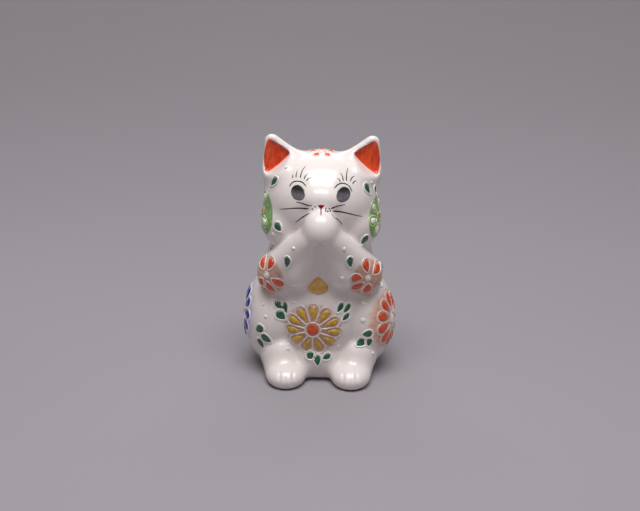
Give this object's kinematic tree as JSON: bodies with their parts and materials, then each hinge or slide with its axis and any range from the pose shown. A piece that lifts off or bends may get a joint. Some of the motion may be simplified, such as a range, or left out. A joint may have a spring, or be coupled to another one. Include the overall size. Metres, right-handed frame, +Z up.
{
  "type": "cat figurine",
  "caption": "Seated glazed porcelain cat figurine with raised forepaws, enamel flowers and a gilt bell; stands on a flat base as an ornament.",
  "frame": {"origin": "on the surface it stands on, under the middle of the figure", "axes": "+Z up from the base, -Y out of the cat's face, +X to the cat's own left"},
  "size_m": [0.0644, 0.0668, 0.0987],
  "materials": {
    "white_porcelain": "gloss",
    "gilding": "polished",
    "black_enamel": "gloss",
    "deep_red_enamel": "gloss",
    "orange_red_enamel": "gloss",
    "white_enamel": "gloss",
    "pale_green_enamel": "gloss",
    "green_enamel": "gloss",
    "yellow_enamel": "gloss",
    "orange_enamel": "gloss",
    "blue_enamel": "gloss",
    "pink_enamel": "gloss"
  },
  "bodies": {
    "root": {"arm_leaf_outlines": "white_enamel", "arm_leaves": "green_enamel", "back_flower_heart": "orange_red_enamel", "back_flower_outlines": "white_enamel", "back_flower_petals": "yellow_enamel", "belly_flower_heart": "orange_red_enamel", "belly_flower_outlines": "white_enamel", "belly_flower_petals": "yellow_enamel", "body_dots": "white_enamel", "body_leaf_outlines": "white_enamel", "body_leaves": "green_enamel", "crown_flower_heart": "orange_red_enamel", "crown_flower_outlines": "white_enamel", "crown_flower_petals": "pink_enamel", "gilt_bell": "gilding", "head_dots": "white_enamel", "head_leaf_outlines": "white_enamel", "head_leaves": "green_enamel", "head_shell": "white_porcelain", "left_cheek_flower_heart": "orange_red_enamel", "left_cheek_flower_outlines": "pale_green_enamel", "left_cheek_flower_petals": "white_enamel", "left_ear": "white_porcelain", "left_ear_lining": "orange_red_enamel", "left_elbow_flower_heart": "white_enamel", "left_elbow_flower_outlines": "white_enamel", "left_elbow_flower_petals": "orange_enamel", "left_eye": "black_enamel", "left_foot": "white_porcelain", "left_foreleg": "white_porcelain", "left_haunch_flower_heart": "white_enamel", "left_haunch_flower_outlines": "white_enamel", "left_haunch_flower_petals": "orange_enamel", "nose": "deep_red_enamel", "right_cheek_flower_heart": "orange_red_enamel", "right_cheek_flower_outlines": "pale_green_enamel", "right_cheek_flower_petals": "white_enamel", "right_ear": "white_porcelain", "right_ear_lining": "orange_red_enamel", "right_elbow_flower_heart": "white_enamel", "right_elbow_flower_outlines": "white_enamel", "right_elbow_flower_petals": "orange_enamel", "right_eye": "black_enamel", "right_foot": "white_porcelain", "right_foreleg": "white_porcelain", "right_haunch_flower_heart": "orange_red_enamel", "right_haunch_flower_outlines": "white_enamel", "right_haunch_flower_petals": "blue_enamel", "tail": "white_porcelain", "torso_shell": "white_porcelain"}
  },
  "joints": []
}
